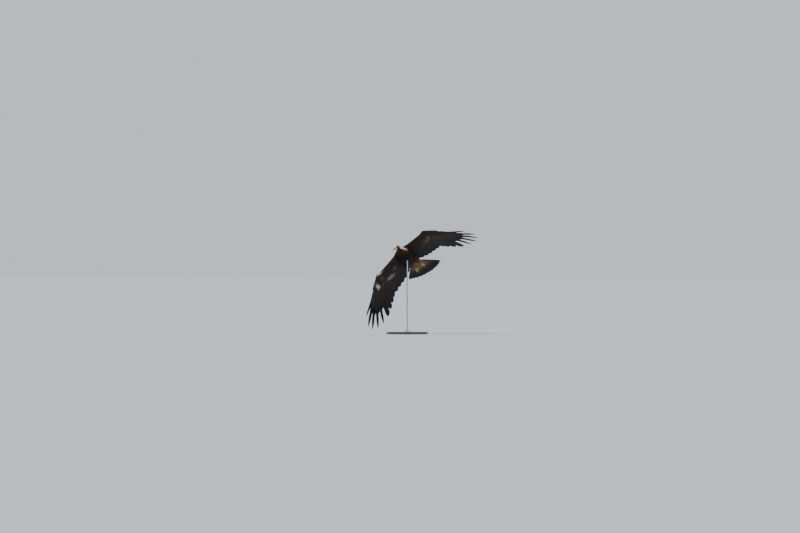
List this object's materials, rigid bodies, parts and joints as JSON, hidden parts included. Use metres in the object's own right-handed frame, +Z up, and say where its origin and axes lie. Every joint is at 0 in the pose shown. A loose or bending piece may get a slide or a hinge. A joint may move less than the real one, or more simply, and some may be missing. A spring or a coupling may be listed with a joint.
{
  "type": "golden eagle model on a display stand",
  "caption": "Still life-size eagle in a banked glide, wings bowed and primaries spread, head turned and feet tucked, on an upright rod and round base.",
  "frame": {"origin": "centre of the stand base's underside, on the floor", "axes": "+Z up along the stand's rod; the bird heads along -Y, banked with its left wing, on the +X side, raised"},
  "size_m": [1.1795, 0.8764, 1.1895],
  "materials": {
    "plumage_dark": "soft dark purplish-brown contour feathers",
    "plumage_gold": "pale golden hackles over brown",
    "plumage_leg": "soft tawny-brown leg feathers",
    "wing_feathers": "satin brown vanes, paler grey-brown in the middle, dark at the edge",
    "tail_feathers": "satin grey-brown vanes with a dark end band",
    "cere_skin": "waxy yellow skin",
    "foot_skin": "scaly yellow skin",
    "horn": "polished dark horn",
    "eye": "wet amber-brown eye",
    "stand_wood": "dark satin-lacquered wood",
    "stand_steel": "brushed steel"
  },
  "bodies": {
    "root": {"torso": "plumage_dark", "head": "plumage_gold", "neck": "plumage_gold", "cere": "cere_skin", "bill_upper": "horn", "bill_lower": "horn", "eye_left": "eye", "eye_right": "eye", "wing_left_arm": "wing_feathers", "wing_left_hand": "wing_feathers", "wing_right_arm": "wing_feathers", "wing_right_hand": "wing_feathers", "tail": "tail_feathers", "thigh_left": "plumage_leg", "thigh_right": "plumage_leg", "tarsus_left": "plumage_leg", "tarsus_right": "plumage_leg", "foot_left": "foot_skin", "foot_right": "foot_skin", "stand_base": "stand_wood", "stand_rod": "stand_steel", "stand_collar": "stand_steel", "claw_left_1": "horn", "claw_left_2": "horn", "claw_left_3": "horn", "claw_left_4": "horn", "claw_right_1": "horn", "claw_right_2": "horn", "claw_right_3": "horn", "claw_right_4": "horn"}
  },
  "joints": []
}
